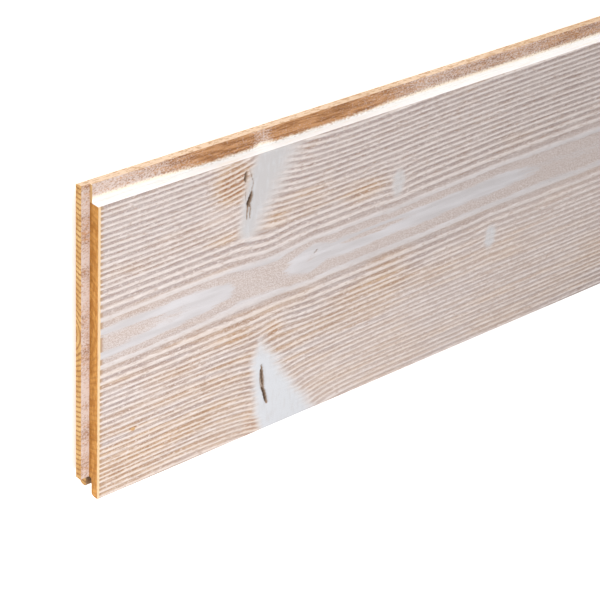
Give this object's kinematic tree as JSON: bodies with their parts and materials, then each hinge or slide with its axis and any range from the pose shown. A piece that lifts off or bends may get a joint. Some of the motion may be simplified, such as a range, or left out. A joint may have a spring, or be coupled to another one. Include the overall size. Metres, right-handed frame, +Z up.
{
  "type": "cladding board",
  "caption": "Brushed and white-washed softwood cladding board, tongued and grooved along its edges and at its ends, for lining a wall or ceiling",
  "frame": {"origin": "under the middle of the board's box, on the plane of its back, which lies on the floor", "axes": "+X along the grain, from the end with the tongue to the end with the groove; +Y across the grain, from the grooved long edge to the tongued one; +Z up, out of the brushed face"},
  "size_m": [2.0044, 0.145, 0.014],
  "materials": {
    "brushed_softwood": "wire-brushed softwood face with thin white wash over pinkish-brown grain, bare wood on the back, the ends and the tongue"
  },
  "bodies": {
    "root": {"cladding_board": "brushed_softwood"}
  },
  "joints": []
}
